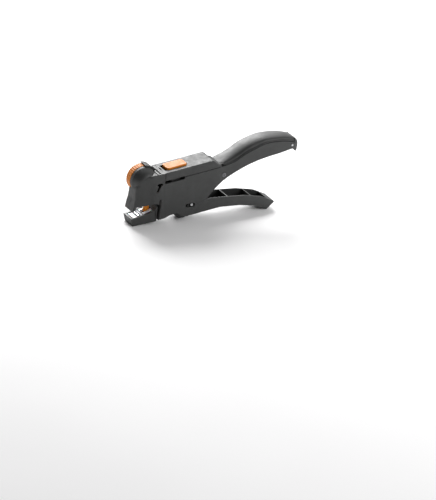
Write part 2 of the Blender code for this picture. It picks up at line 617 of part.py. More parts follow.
def make_pawl():
    px, pz = HANDLE_PIVOT
    angle = math.radians(PAWL_ANGLE)
    tip = (px + (RATCHET_R + 0.4) * math.cos(angle), pz + (RATCHET_R + 0.4) * math.sin(angle))
    ax, az = PAWL_PIVOT
    outline = rounded([(ax - 2.6, az - 2.4, 2), (ax + 1.0, az - 3.0, 2), (tip[0], tip[1], 0.2),
                       (tip[0] + 0.6, tip[1] + 2.4, 0.6), (ax + 2.0, az + 2.8, 2), (ax - 2.8, az + 2.4, 2)])
    pawl = prism("ratchet_pawl", outline, CRANK_INNER, CRANK_INNER + CRANK_THICK, STEEL)
    combine(pawl, drill("pawl_bore", PAWL_PIVOT, LINK_R + GAP, -12, 12))


def coil(name, at, radius, wire, z0, z1, turns, look, per_turn=9):
    """A coil spring standing on z, closed at both ends."""
    curve = bpy.data.curves.new(name, "CURVE")
    curve.dimensions = "3D"
    curve.bevel_depth = wire * MM
    curve.bevel_resolution = 2
    curve.use_fill_caps = True
    count = turns * per_turn
    spline = curve.splines.new("POLY")
    spline.points.add(count)
    for i, spot in enumerate(spline.points):
        angle = math.tau * i / per_turn
        z = z0 + wire + (z1 - z0 - 2 * wire) * i / count
        spot.co = ((at[0] + radius * math.cos(angle)) * MM, (at[1] + radius * math.sin(angle)) * MM, z * MM, 1)
    obj = bpy.data.objects.new(name, curve)
    curve.materials.append(material(look))
    pieces.objects.link(obj)
    obj.parent = tool
    return obj


# ---------------------------------------------------------------- head: upper die, blade, stop, wheel

def make_head():
    holder_half = 6.0
    holder = block("die_holder", (8.4, -holder_half, 26.6), (28.0, 2.6, 32.5), DARK_STEEL, 0.3)
    combine(holder, block("stop_track", (16.0, -2.7, 20), (30.0, 2.7, 29.6)))
    inner = THROAT_HALF - GAP
    block("upper_blade", (8.0, -inner, 17.9), (9.2, inner, 26.3), STEEL)
    die = block("upper_die", (10.6, -inner, 17.3), (14.2, inner, 26.3), DARK_STEEL, 0.2)
    combine(die, prism("upper_die_groove", circle((12.4, 16.0), 1.9), -20, 20))

    outline = rounded([(18.0, 9.0, 0.6), (22.8, 9.0, 0.6), (24.4, 18.6, 0.6), (24.4, 29.2, 0.4),
                       (18.6, 29.2, 0.4), (18.6, 18.6, 0.6)])
    prism("length_stop", outline, -2.2, 2.2, ORANGE, 0.3)

    y0, y1 = WHEEL_Y
    ribs = []
    for i in range(WHEEL_RIBS):
        for share, depth in ((0.0, 0.0), (0.5, RIB_DEPTH)):
            angle = math.tau * (i + share) / WHEEL_RIBS
            ribs.append((WHEEL_AT[0] + (WHEEL_R - depth) * math.cos(angle),
                         WHEEL_AT[1] + (WHEEL_R - depth) * math.sin(angle)))
    wheel = prism("selector_wheel", ribs, y0, y1, ORANGE)
    dish = [(5.0, y1 + 1), (11.8, y1 + 1), (11.8, y1 - 1.6), (5.0, y1 - 1.6), (5.0, y1 + 1)]
    combine(wheel, turned("wheel_dish", WHEEL_AT, dish, steps=20))
    combine(wheel, drill("wheel_bore", WHEEL_AT, AXLE_R + GAP, y0 - 1, y1 + 1))
    axle = [(0, y1 + 0.9), (3.6, y1 + 0.9), (3.9, y1 + 0.6), (3.9, y1 + GAP), (AXLE_R, y1 + GAP),
            (AXLE_R, -2.8), (0, -2.8)]
    turned("wheel_axle", WHEEL_AT, axle, DARK_STEEL)


# ---------------------------------------------------------------- magazine and feed button

def make_magazine():
    half = BUTTON_WIDTH / 2
    x0, x1 = BUTTON_FRONT, BUTTON_FRONT + BUTTON_LENGTH
    outline = rounded([(x0, -half, 2.5), (x1, -half, 2.5), (x1, half, 2.5), (x0, half, 2.5)], 4)
    button = plan("feed_button", outline, BODY_TOP - 1.7, BODY_TOP + BUTTON_PROUD, ORANGE, 0.7)
    stem = block("button_stem", (x0 + 4, -2.0, BODY_TOP - 3.2), (x1 - 4, 2.0, BODY_TOP - 1.0))
    combine(button, stem, "UNION")
    block("feed_carriage", (x0 + 1, -6.5, BODY_TOP - 4.6), (x1 + 2, 6.5, BODY_TOP - 3.5), BLACK, 0.2)
    rail = block("magazine_rail", (HEAD_END + WALL + GAP, -RAIL_HALF, 46.6), (98.0, RAIL_HALF, 51.0), STEEL)
    combine(rail, block("rail_channel", (HEAD_END, -RAIL_HALF + 1.2, 47.8), (110, RAIL_HALF - 1.2, 60)))
    block("strip_follower", (70.0, -RAIL_HALF + 1.5, 48.1), (80.0, RAIL_HALF - 1.5, 50.8), BLACK, 0.3)
    slide = block("transport_slide", (47.0, -7.0, 40.8), (60.0, 7.0, 42.4), BLACK, 0.2)
    finger = block("transport_finger", (47.0, -9.6, 41.2), (58.0, -6.0, 45.6))
    combine(slide, finger, "UNION")


# ---------------------------------------------------------------- latch and screws

def make_latch():
    x, z = LATCH_PIVOT
    outline = rounded([(52.6, 2.8, 0.6), (53.6, -2.0, 1.5), (58.5, -6.8, 1.5), (65.5, -7.4, 1.2),
                       (67.4, -5.9, 0.8), (64.2, -5.0, 2.0), (x + 2.4, z - 0.4, 1.5), (x + 2.2, z + 2.4, 2.0),
                       (x - 2.4, z + 2.4, 2.0),
                       (x - 3.0, 1.0, 0.6), (55.2, 0.8, 0.3)])
    latch = prism("handle_latch", outline, -5.6, 5.6, BLACK, 0.3)
    combine(latch, drill("latch_bore", LATCH_PIVOT, LINK_R + GAP, -12, 12))
    outer = PLATE_INNER + PLATE_THICK
    pin("latch_pin", LATCH_PIVOT, LINK_R, -outer, outer, chamfer=0.2)


def make_screws():
    for name, (x, z, side) in SCREWS.items():
        head = HALF - SCREW_SUNK
        under = head - SCREW_HEAD_H
        profile = [(0, head), (SCREW_HEAD_R - 0.4, head), (SCREW_HEAD_R, head - 0.4), (SCREW_HEAD_R, under),
                   (SCREW_R, under), (SCREW_R, -6.0), (0, -6.0)]
        screw = turned(name, (x, z), profile, STEEL)
        if side < 0:
            screw.rotation_euler = (math.pi / 2, 0, 0)
        slot = block(name + "_driver", (x - 0.35, side * head - 0.7, z - 1.6),
                     (x + 0.35, side * head + 0.7, z + 1.6))
        combine(screw, slot)


# ---------------------------------------------------------------- standing the tool on the floor

def stand_on_floor():
    """Leans the tool onto the lower jaw and the lower handle's tip, then centres its box over the origin."""
    tip = HANDLE_BOTTOM[-1]
    tool.rotation_euler = (0, math.atan2(tip[1], tip[0]), 0)
    bpy.context.view_layer.update()
    graph = bpy.context.evaluated_depsgraph_get()
    solids = [obj for obj in pieces.objects if obj.type != "EMPTY"]
    corners = [obj.matrix_world @ vert.co for obj in solids
               for vert in obj.evaluated_get(graph).to_mesh().vertices]
    lows = [min(c[i] for c in corners) for i in range(3)]
    highs = [max(c[i] for c in corners) for i in range(3)]
    tool.location = (-(lows[0] + highs[0]) / 2, -(lows[1] + highs[1]) / 2, -lows[2])
    bpy.context.view_layer.update()


clear_scene()
pieces = collection("ferrule_crimping_tool")
cutters = collection("cutters")
tool = bpy.data.objects.new("tool", None)
pieces.objects.link(tool)
shared = {}
shared["cavity"] = cavity_cutter()
shared["cuts"] = shared_cuts()
make_housings()
make_top_cover()
make_grip_and_cap()
make_frame()
make_lower_jaw()
make_drive_link()
make_lower_handle()
make_cranks()
make_pawl()
coil("return_spring", (SPRING_AT_X, 0.0), SPRING_R, WIRE_R, -1.9, 12.1, 5, STEEL)
make_head()
make_magazine()
make_latch()
make_screws()
stand_on_floor()
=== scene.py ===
"""Looks of the ferrule crimping tool: moulded shells, rubber grip, lever, jaw, wheel and button made
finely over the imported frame, with procedural plastic, rubber and steel.

Pieces are made on a bench in millimetres, in the tool's own side view (x from the nose to the tail, z up
from the lower jaw, y to the right side), and TOOL puts them in the frame's place.
"""

import json
import math

import bmesh
import bpy
from mathutils import Matrix, Vector

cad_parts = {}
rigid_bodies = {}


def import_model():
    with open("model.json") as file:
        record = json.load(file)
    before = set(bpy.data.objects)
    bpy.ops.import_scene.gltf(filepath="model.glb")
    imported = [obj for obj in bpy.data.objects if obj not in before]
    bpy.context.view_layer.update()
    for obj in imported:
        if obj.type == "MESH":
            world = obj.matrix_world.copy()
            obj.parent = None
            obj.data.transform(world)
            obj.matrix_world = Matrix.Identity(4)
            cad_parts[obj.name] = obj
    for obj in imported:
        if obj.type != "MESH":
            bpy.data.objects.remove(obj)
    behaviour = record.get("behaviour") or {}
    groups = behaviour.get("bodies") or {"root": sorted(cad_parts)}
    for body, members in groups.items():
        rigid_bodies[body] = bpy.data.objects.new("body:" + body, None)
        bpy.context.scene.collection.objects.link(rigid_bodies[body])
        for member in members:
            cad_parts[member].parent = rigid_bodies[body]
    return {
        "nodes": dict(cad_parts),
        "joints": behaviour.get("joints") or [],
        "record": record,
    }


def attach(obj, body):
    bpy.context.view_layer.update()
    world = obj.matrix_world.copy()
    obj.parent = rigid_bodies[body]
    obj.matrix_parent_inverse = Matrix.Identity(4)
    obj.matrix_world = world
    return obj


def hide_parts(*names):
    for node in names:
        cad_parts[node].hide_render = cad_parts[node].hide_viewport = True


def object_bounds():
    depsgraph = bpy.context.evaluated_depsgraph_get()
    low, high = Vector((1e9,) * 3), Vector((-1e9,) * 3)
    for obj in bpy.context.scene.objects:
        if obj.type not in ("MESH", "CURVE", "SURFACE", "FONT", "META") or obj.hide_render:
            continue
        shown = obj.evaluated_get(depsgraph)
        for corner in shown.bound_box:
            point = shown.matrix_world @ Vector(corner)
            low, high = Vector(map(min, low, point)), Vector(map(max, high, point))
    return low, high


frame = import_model()
cad_low, cad_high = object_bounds()
MM = 0.001

# Sizes in millimetres, as in the CAD model
HANDLE_PIVOT = (67.0, 1.0)
HALF = (cad_high[1] - cad_low[1]) / 2 / MM
NOSE = 8.5
WALL = 2.2
GAP = 0.3
SEAM = 0.6
BODY_TOP = 56.0
GROOVE_Z = 45.5
HEAD_END = 38.5
COVER_END = 108.0
GRIP_LENGTH = 99.0
TAIL = COVER_END + GRIP_LENGTH
CAP_START = TAIL - 5.5
HOLLOW_END = TAIL - 14.0
SCREWS = {"rear_screw": (111.2, 35.0, -1), "front_screw": (50.0, 35.5, 1), "middle_screw": (92.0, 33.0, 1)}
SCREW_R = 1.3
SCREW_HEAD_R = 2.5
SCREW_HEAD_H = 1.4
SCREW_SUNK = 0.35
TAIL_PIN_AT = (197.6, 47.6)
DRIVE_PIN_AT = (71.0, 9.5)
DRIVE_R = 1.7
PIVOT_R = 2.0
LINK_R = 1.2
SQUEEZE = 24.0
HANDLE_HALF = 10.25
HANDLE_WALL = 1.5
HANDLE_FLOOR = 2.0
JAW_HALF = 8.5
JAW_WALL = 1.8
JAW_PIVOT = (42.0, 18.0)
JAW_PIN_AT = (43.0, 10.0)
THROAT_HALF = 5.4
LATCH_PIVOT = (59.2, 1.4)
WHEEL_AT = (18.5, 48.0)
WHEEL_R = 15.2
WHEEL_Y = (3.6, 11.4)
AXLE_R = 2.4
BUTTON_FRONT = 44.3
BUTTON_LENGTH = 24.8
BUTTON_HALF = 6.75
BUTTON_TRAVEL = 2.5
BUTTON_PROUD = 1.9
WINDOW_Z = GROOVE_Z - 0.3
WINDOW_R = 1.9
WINDOW_END = 61.0
BOSS_R = 3.4
GUARD_R = WHEEL_R - 0.4
HOOD_R = WHEEL_R + 1.6
JAW_FLARE = 0.24
CRACK = 0.002


# ---------------------------------------------------------------- the tool's own frame

def tool_matrix():
    """The tool's side-view frame, worked out from the button's direction and the lower handle's pivot."""
    joints = {joint["name"]: joint for joint in frame["joints"]}
    x_axis = -Vector(joints["button_press"]["axis"]).normalized()
    y_axis = Vector((0, 1, 0))
    turn = Matrix((x_axis, y_axis, x_axis.cross(y_axis))).transposed()
    pivot = Vector(joints["handle_squeeze"]["pos_m"])
    corner = pivot - turn @ (Vector((HANDLE_PIVOT[0], 0.0, HANDLE_PIVOT[1])) * MM)
    return Matrix.Translation(corner) @ turn.to_4x4()


TOOL = tool_matrix()


# ---------------------------------------------------------------- finishes

def node_of(tree, kind, **values):
    made = tree.nodes.new(kind)
    for name, value in values.items():
        setattr(made, name, value)
    return made


def noise(tree, scale, detail=2.0, stretch=(1, 1, 1)):
    """Noise over the piece, with `scale` waves in a metre."""
    place = tree.nodes.new("ShaderNodeTexCoord")
    mapping = tree.nodes.new("ShaderNodeMapping")
    mapping.inputs["Scale"].default_value = stretch
    made = tree.nodes.new("ShaderNodeTexNoise")
    made.inputs["Scale"].default_value = scale
    made.inputs["Detail"].default_value = detail
    tree.links.new(place.outputs["Object"], mapping.inputs["Vector"])
    tree.links.new(mapping.outputs["Vector"], made.inputs["Vector"])
    return made.outputs["Fac"]


def ramp(tree, source, low, high, start=0.35, end=0.65):
    made = tree.nodes.new("ShaderNodeValToRGB")
    made.color_ramp.elements[0].position = start
    made.color_ramp.elements[1].position = end
    made.color_ramp.elements[0].color = (*low, 1)
    made.color_ramp.elements[1].color = (*high, 1)
    tree.links.new(source, made.inputs["Fac"])
    return made.outputs["Color"]


def spread(tree, source, low, high, start=0.3, end=0.7):
    """The source's middle range, spread from low to high."""
    made = tree.nodes.new("ShaderNodeMapRange")
    for name, value in (("From Min", start), ("From Max", end), ("To Min", low), ("To Max", high)):
        made.inputs[name].default_value = value
    tree.links.new(source, made.inputs["Value"])
    return made.outputs["Result"]


def rubbed(tree, colour, lighter, amount):
    """Lightens the colour along convex edges, where handling polishes them."""
    geometry = tree.nodes.new("ShaderNodeNewGeometry")
    edge = spread(tree, geometry.outputs["Pointiness"], 0.0, amount, 0.505, 0.58)
    mix = node_of(tree, "ShaderNodeMix", data_type="RGBA")
    mix.inputs["B"].default_value = (*lighter, 1)
    tree.links.new(edge, mix.inputs["Factor"])
    tree.links.new(colour, mix.inputs["A"])
    return mix.outputs["Result"]


def finish_look(name, colours, rough, grain=1800, bump=0.02, stretch=(1, 1, 1), clouds=70, edge=0.25,
                **shader):
    """Two tones in soft clouds, a roughness that varies with them, rubbed edges and a fine grain as bump.
    `grain` is in waves to the metre and `bump` is its height in millimetres."""
    made = bpy.data.materials.new(name)
    made.use_nodes = True
    tree = made.node_tree
    surface = tree.nodes["Principled BSDF"]
    low, high = colours
    tone = ramp(tree, noise(tree, clouds, 3.0), low, high)
    lighter = [min(1.0, channel * 1.8 + 0.01) for channel in high]
    tree.links.new(rubbed(tree, tone, lighter, edge), surface.inputs["Base Color"])
    fine = noise(tree, grain, 2.0, stretch)
    tree.links.new(spread(tree, noise(tree, clouds * 3.1, 4.0), *rough), surface.inputs["Roughness"])
    height = tree.nodes.new("ShaderNodeBump")
    height.inputs["Strength"].default_value = 1.0
    height.inputs["Distance"].default_value = bump * MM
    tree.links.new(fine, height.inputs["Height"])
    tree.links.new(height.outputs["Normal"], surface.inputs["Normal"])
    for socket, value in shader.items():
        surface.inputs[socket.replace("_", " ")].default_value = value
    return made


LOOKS = {
    "graphite_plastic": finish_look("graphite_grained", ((0.021, 0.022, 0.0215), (0.027, 0.028, 0.0275)),
                                    (0.44, 0.58)),
    "black_plastic": finish_look("black_satin", ((0.009, 0.0095, 0.010), (0.013, 0.0135, 0.014)),
                                 (0.38, 0.52), bump=0.012),
    "soft_rubber": finish_look("soft_matt_rubber", ((0.015, 0.016, 0.0155), (0.020, 0.021, 0.0205)),
                               (0.46, 0.56), grain=2600, bump=0.015, edge=0.1, Sheen_Weight=0.15),
    "orange_plastic": finish_look("orange_satin", ((0.58, 0.170, 0.008), (0.66, 0.205, 0.011)), (0.42, 0.54),
                                  bump=0.008, edge=0.10, Specular_IOR_Level=0.35),
    "clear_plastic": finish_look("milky_plastic", ((0.86, 0.88, 0.89), (0.93, 0.94, 0.95)), (0.16, 0.30),
                                 bump=0.004, edge=0.0, Subsurface_Weight=0.2, Subsurface_Scale=0.002),
    "steel": finish_look("ground_steel", ((0.50, 0.50, 0.51), (0.64, 0.64, 0.65)), (0.22, 0.38), grain=900,
                         bump=0.004, stretch=(1, 1, 9), edge=0.0, Metallic=1.0),
    "dark_steel": finish_look("phosphated_steel", ((0.11, 0.11, 0.115), (0.19, 0.19, 0.20)), (0.36, 0.55),
                              grain=2200, bump=0.008, edge=0.2, Metallic=1.0),
}


# ---------------------------------------------------------------- outlines

def rounded(corners, steps=6):
    """Corners are (x, z, radius); each becomes an arc of `steps` pieces."""
    out = []
    for i, (x, z, radius) in enumerate(corners):
        here = Vector((x, z))
        before = Vector(corners[i - 1][:2]) - here
        after = Vector(corners[(i + 1) % len(corners)][:2]) - here
        half = before.angle(after) / 2
        if radius <= 0 or math.pi - 2 * half < 0.02:
            out.append((x, z))
            continue
        reach = min(radius / math.tan(half), 0.48 * before.length, 0.48 * after.length)
        radius = reach * math.tan(half)
        start = here + before.normalized() * reach
        centre = here + (before.normalized() + after.normalized()).normalized() * (radius / math.sin(half))
        first = start - centre
        sweep = first.angle_signed(here + after.normalized() * reach - centre)
        turns = [Matrix.Rotation(-sweep * step / steps, 2) for step in range(steps + 1)]
        out += [tuple(centre + turn @ first) for turn in turns]
    return out


def smooth(points, steps=6):
    """A Catmull-Rom curve through the points, ends included."""
    pts = [Vector(p) for p in points]
    pts = [2 * pts[0] - pts[1], *pts, 2 * pts[-1] - pts[-2]]
    out = []
    for a, b, c, d in zip(pts, pts[1:], pts[2:], pts[3:]):
        for step in range(steps):
            t = step / steps
            out.append(tuple(0.5 * (2 * b + (c - a) * t + (2 * a - 5 * b + 4 * c - d) * t**2
                                    + (3 * b - a - 3 * c + d) * t**3)))
    return [*out, tuple(pts[-2])]


def circle(at, radius, count=48, start=0.04):
    return [(at[0] + radius * math.cos(start + math.tau * i / count),
             at[1] + radius * math.sin(start + math.tau * i / count)) for i in range(count)]


def capsule(a, b, radius, steps=12):
    """The outline of a slot with round ends, from a to b."""
    along = math.atan2(b[1] - a[1], b[0] - a[0])
    out = []
    for at, start in ((b, along - math.pi / 2), (a, along + math.pi / 2)):
        out += [(at[0] + radius * math.cos(start + math.pi * i / steps),
                 at[1] + radius * math.sin(start + math.pi * i / steps)) for i in range(steps + 1)]
    return out


def turned_about(point, pivot, degrees):
    angle = math.radians(degrees)
    x, z = point[0] - pivot[0], point[1] - pivot[1]
    return (pivot[0] + x * math.cos(angle) - z * math.sin(angle),
            pivot[1] + x * math.sin(angle) + z * math.cos(angle))


def height_on(edge, x):
    for (x0, z0), (x1, z1) in zip(edge, edge[1:]):
        if x0 <= x <= x1:
            return z0 + (z1 - z0) * (x - x0) / (x1 - x0)
    return edge[0][1] if x < edge[0][0] else edge[-1][1]


def on_grip(points):
    """Points given as (share of the grip's length, z)."""
    return [(COVER_END + share * GRIP_LENGTH, z) for share, z in points]


GROOVE = [(COVER_END - 2, GROOVE_Z),
          *smooth(on_grip([(0.06, 45.5), (0.19, 47.8), (0.31, 53.0), (0.45, 56.6), (0.58, 58.7), (0.75, 56.7),
                           (0.88, 52.6), (0.95, 49.4)]))]
GRIP_TOP = smooth(on_grip([(0.0, 48.0), (0.10, 51.5), (0.22, 56.1), (0.34, 61.2), (0.46, 63.7), (0.58, 64.4),
                           (0.71, 62.8), (0.84, 60.0), (0.91, 57.2), (0.955, 54.0)]))
GRIP_UNDERSIDE = smooth([(88.3, 10.7), (95.7, 17.9), (105.7, 25.5),
                         *on_grip([(0.10, 31.3), (0.23, 35.9), (0.35, 39.2), (0.48, 41.3), (0.60, 42.2),
                                   (0.73, 42.5), (0.88, 43.1), (0.95, 42.6)])])
HEAD = [(HEAD_END, BODY_TOP, 0), (13.0, BODY_TOP, 9), (5.0, 44.5, 14), (3.6, 30.5, 10), (-0.1, 17.3, 0),
        (2.2, 17.3, 0), (5.3, 22.1, 1.0), (26.0, 22.1, 3.0), (30.2, 20.6, 0), (31.4, 26.2, 0.6),
        (33.4, 26.2, 0.6), (33.2, 20.0, 4.0), (31.2, 12.0, 6.0), (29.6, 1.8, 0), (37.5, 1.9, 4.0),
        (43.7, 3.9, 4.0), (52.4, 4.0, 2.0), (58.0, -1.0, 3.0), (66.0, -3.4, 4.0), (74.7, 2.2, 6.0)]
HEAD_CAVITY = [(HEAD_END + WALL, 43.3, 0.5), (36.0, 50.0, 0.5), (19.5, 50.0, 4), (11.0, 45.5, 6),
               (6.8, 31.8, 8), (4.9, 24.4, 0.5), (26.5, 24.4, 1.0), (30.0, 28.4, 0.5), (36.0, 28.4, 0.5),
               (35.6, 20.0, 3.0),
               (33.6, 12.0, 3.0), (32.3, 4.2, 0.5), (37.0, 4.2, 2.0), (43.2, 6.2, 2.0), (53.0, 5.8, 1.0),
               (58.6, -6.0, 0.5), (75.0, -6.0, 0.5)]
WIDTHS = smooth([(-6.0, NOSE), (4.0, NOSE + 0.2), (12.0, NOSE + 1.7), (22.0, HALF - 1.0), (31.0, HALF),
                 (COVER_END - 10, HALF), (COVER_END + 6, HALF - 1.0), (COVER_END + 40, HALF - 0.6),
                 (COVER_END + 72, HALF - 1.2), (TAIL - 9, HALF - 2.6), (TAIL - 3, HALF - 5.0),
                 (TAIL + 1, HALF - 7.5)], 3)
HANDLE_BOTTOM = [(70.0, -4.4), (82.0, -4.2), (107.0, -4.2), (132.0, -8.5), (152.0, -14.8), (165.3, -22.5)]
HANDLE_TOP = [(78.0, 12.0), (92.0, 10.5), (113.0, 7.0), (138.0, 2.0), (159.0, -5.0), (176.0, -15.4)]


def half_width(x):
    return min(HALF, height_on(WIDTHS, x))


# ---------------------------------------------------------------- the bench: solids in millimetres

bench = bpy.data.collections.new("bench")
bpy.context.scene.collection.children.link(bench)


def extruded(points, low, high, upright=False):
    """An outline in (x, z) pushed along y, or with `upright` an outline in (x, y) pushed along z."""
    shape = bmesh.new()
    points = [p for i, p in enumerate(points) if math.dist(p, points[i - 1]) > 0.05]
    corners = [Vector((u, v, low) if upright else (u, low, v)) for u, v in points]
    face = shape.faces.new([shape.verts.new(corner) for corner in corners])
    grown = bmesh.ops.extrude_face_region(shape, geom=[face])["geom"]
    lift = Vector((0, 0, high - low) if upright else (0, high - low, 0))
    bmesh.ops.translate(shape, verts=[g for g in grown if isinstance(g, bmesh.types.BMVert)], vec=lift)
    bmesh.ops.recalc_face_normals(shape, faces=shape.faces)
    return shape


def block(x0, y0, z0, x1, y1, z1):
    return extruded([(x0, z0), (x1, z0), (x1, z1), (x0, z1)], y0, y1)


def drill(at, radius, y0, y1):
    return extruded(circle(at, radius, 32), y0, y1)


def lathe(profile, at, steps=64):
    """(radius, y) points turned about the y axis through `at`. The profile starts and ends on the axis, or
    is a closed ring away from it."""
    shape = bmesh.new()
    closed = profile[0][0] > 0
    rings = []
    for radius, y in profile:
        count = steps if radius > 0 else 1
        angles = [math.tau * i / count for i in range(count)]
        rings.append([shape.verts.new((at[0] + radius * math.cos(a), y, at[1] + radius * math.sin(a)))
                      for a in angles])
    for ring, following in zip(rings, rings[1:] + (rings[:1] if closed else [])):
        for i in range(steps):
            corners = [ring[i % len(ring)], ring[(i + 1) % len(ring)], following[(i + 1) % len(following)],
                       following[i % len(following)]]
            shape.faces.new(list(dict.fromkeys(corners)))
    bmesh.ops.recalc_face_normals(shape, faces=shape.faces)
    return shape


def in_strips(shape, points):
    """Cuts a body's wide faces into strips, so that they can follow its width."""
    first, last = int(min(p[0] for p in points)) + 1, int(max(p[0] for p in points))
    for x in range(first, last, 2):
        everything = [*shape.verts, *shape.edges, *shape.faces]
        bmesh.ops.bisect_plane(shape, geom=everything, plane_co=(x, 0, 0), plane_no=(1, 0, 0), dist=0.02)


def body_block(points, inset=0.0):
    """A side-view outline as wide as the body is along its length, with sharp rims."""
    shape = extruded(points, -HALF, HALF)
    in_strips(shape, points)
    for vert in shape.verts:
        vert.co.y = math.copysign(half_width(vert.co.x) - inset, vert.co.y)
    return shape


def resampled(points, longest=3.0):
    out = []
    for a, b in zip(points, points[1:] + points[:1]):
        pieces = max(1, math.ceil(math.dist(a, b) / longest))
        out += [(a[0] + (b[0] - a[0]) * i / pieces, a[1] + (b[1] - a[1]) * i / pieces) for i in range(pieces)]
    return [p for i, p in enumerate(out) if math.dist(p, out[i - 1]) > 0.05]


def rounded_block(points, radius_at, steps=5):
    """As body_block, with both rims rounded by radius_at(x, z)."""
    points = resampled(points)
    area = sum(a[0] * b[1] - b[0] * a[1] for a, b in zip(points, points[1:] + points[:1]))
    inside = math.copysign(1, area)
    rims = []
    for i, (x, z) in enumerate(points):
        here = Vector((x, z))
        ahead = (Vector(points[(i + 1) % len(points)]) - here).normalized()
        behind = (here - Vector(points[i - 1])).normalized()
        along = (ahead + behind).normalized()
        inward = Vector((-along.y, along.x)) * inside
        mitre = 1 / max(0.4, along.dot(ahead))
        radius = radius_at(x, z)
        rims.append([])
        for step in range(steps + 1):
            angle = math.pi / 2 * step / steps
            spot = here + inward * (mitre * radius * (1 - math.cos(angle)))
            rims[-1].append((spot.x, half_width(spot.x) - radius * (1 - math.sin(angle)), spot.y))
    shape = bmesh.new()
    rows = []
    for side, order in ((-1, range(steps, -1, -1)), (1, range(steps + 1))):
        for step in order:
            rows.append([shape.verts.new((rim[step][0], side * rim[step][1], rim[step][2])) for rim in rims])
    for row, following in zip(rows, rows[1:]):
        for i in range(len(row)):
            j = (i + 1) % len(row)
            shape.faces.new((row[i], row[j], following[j], following[i]))
    shape.faces.new(rows[0])
    shape.faces.new(rows[-1])
    bmesh.ops.recalc_face_normals(shape, faces=shape.faces)
    in_strips(shape, points)
    return shape


def on_bench(name, shape, rounding=0.0, segments=3):
    """Puts a shape on the bench, with its sharp edges rounded."""
    mesh = bpy.data.meshes.new(name)
    shape.to_mesh(mesh)
    shape.free()
    obj = bpy.data.objects.new(name, mesh)
    bench.objects.link(obj)
    if rounding:
        bevel = obj.modifiers.new("round", "BEVEL")
        bevel.width = rounding
        bevel.segments = segments
        bevel.use_clamp_overlap = False
        bevel.angle_limit = math.radians(40)
    return obj


def combine(target, shape, operation="DIFFERENCE"):
    other = shape if isinstance(shape, bpy.types.Object) else on_bench(target.name + "_tool", shape)
    modifier = target.modifiers.new(operation.title(), "BOOLEAN")
    modifier.operation = operation
    modifier.solver = "EXACT"
    modifier.object = other


def cut(target, *shapes):
    for shape in shapes:
        combine(target, shape)


def finished(work, slot, body, *nodes):
    """Takes a piece off the bench: its final mesh, small cracks closed, in the frame's place, on its body."""
    bpy.context.view_layer.update()
    evaluated = work.evaluated_get(bpy.context.evaluated_depsgraph_get())
    mesh = bpy.data.meshes.new_from_object(evaluated)
    shape = bmesh.new()
    shape.from_mesh(mesh)
    bmesh.ops.remove_doubles(shape, verts=shape.verts, dist=CRACK)
    bmesh.ops.holes_fill(shape, edges=[edge for edge in shape.edges if edge.is_boundary], sides=20)
    shape.to_mesh(mesh)
    shape.free()
    mesh.transform(TOOL @ Matrix.Scale(MM, 4))
    mesh.shade_smooth()
    mesh.set_sharp_from_angle(angle=math.radians(32))
    mesh.materials.clear()
    mesh.materials.append(LOOKS[slot])
    name = work.name
    work.name = name + "_on_bench"
    piece = bpy.data.objects.new(name, mesh)
    bpy.context.scene.collection.objects.link(piece)
    even = piece.modifiers.new("even_normals", "WEIGHTED_NORMAL")
    even.keep_sharp = True
    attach(piece, body)
    if nodes:
        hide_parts(*nodes)
    return piece


# ---------------------------------------------------------------- shells

def shell_outline():
    return [*rounded(HEAD), *GRIP_UNDERSIDE, *reversed(GROOVE), (HEAD_END, GROOVE_Z)]


def shell_cavity():
    open_until = COVER_END - 1.0
    roof = GROOVE_Z + 5
    grip = [(x, z + WALL) for x, z in GRIP_UNDERSIDE if COVER_END + 8 < x < HOLLOW_END]
    back = [(x, z - WALL) for x, z in reversed(GROOVE) if COVER_END + 8 < x < HOLLOW_END]
    outline = [*rounded(HEAD_CAVITY, 3), (88.0, 4.0), (open_until, 24.0), (open_until, 30.5), *grip, *back,
               (COVER_END + 2, GROOVE_Z - WALL), (open_until - 4, GROOVE_Z - WALL), (open_until - 4, roof),
               (HEAD_END + WALL, roof)]
    cavity = on_bench("shell_cavity", body_block(outline, WALL))
    for x, z, _ in SCREWS.values():
        combine(cavity, drill((x, z), BOSS_R, -HALF, HALF))
    return cavity


def shell_rounding(x, z):
    """Millimetres of rounding on the shells' rims: broad over the head's brow, small in its notches."""
    if x > HEAD_END - 0.1 and z > height_on(GROOVE, x) - 0.2:
        return 0.3
    if x < HEAD_END and z > 26.5:
        brow = min(1.0, (z - 26.5) / 12.0)
        back = min(1.0, max(0.0, (x - 16.0) / 20.0))
        return 0.6 + 2.4 * brow * (1 - 0.7 * back)
    if x < 34 and z > 12:
        return 0.35
    return 0.9


def feed_window(reach):
    """The long slot at the parting groove, through both sides."""
    return extruded(capsule((HEAD_END + 1.0, WINDOW_Z), (WINDOW_END, WINDOW_Z), WINDOW_R), -reach, reach)


def shared_openings():
    """Openings through both shells."""
    reach = HALF + 1
    near = (DRIVE_PIN_AT[0] + 1.4, DRIVE_PIN_AT[1] - 0.2)
    far = turned_about(DRIVE_PIN_AT, HANDLE_PIVOT, SQUEEZE)
    return [
        extruded(capsule((far[0] - 2.0, far[1]), near, DRIVE_R + 0.5), -reach, reach),
        feed_window(reach),
        block(28.5, -THROAT_HALF - 0.4, 5.0, 37.0, THROAT_HALF + 0.4, 25.0),
        block(7.0, -THROAT_HALF, 20.0, 28.5, THROAT_HALF, 26.0),
        block(33.2, -HALF + 2.6, 51.4, 34.9, HALF - 2.6, BODY_TOP + 2),
        block(CAP_START - GAP, -reach, 0, TAIL + 5, reach, BODY_TOP + 20),
        drill(TAIL_PIN_AT, SCREW_R + GAP, -reach, reach),
    ]


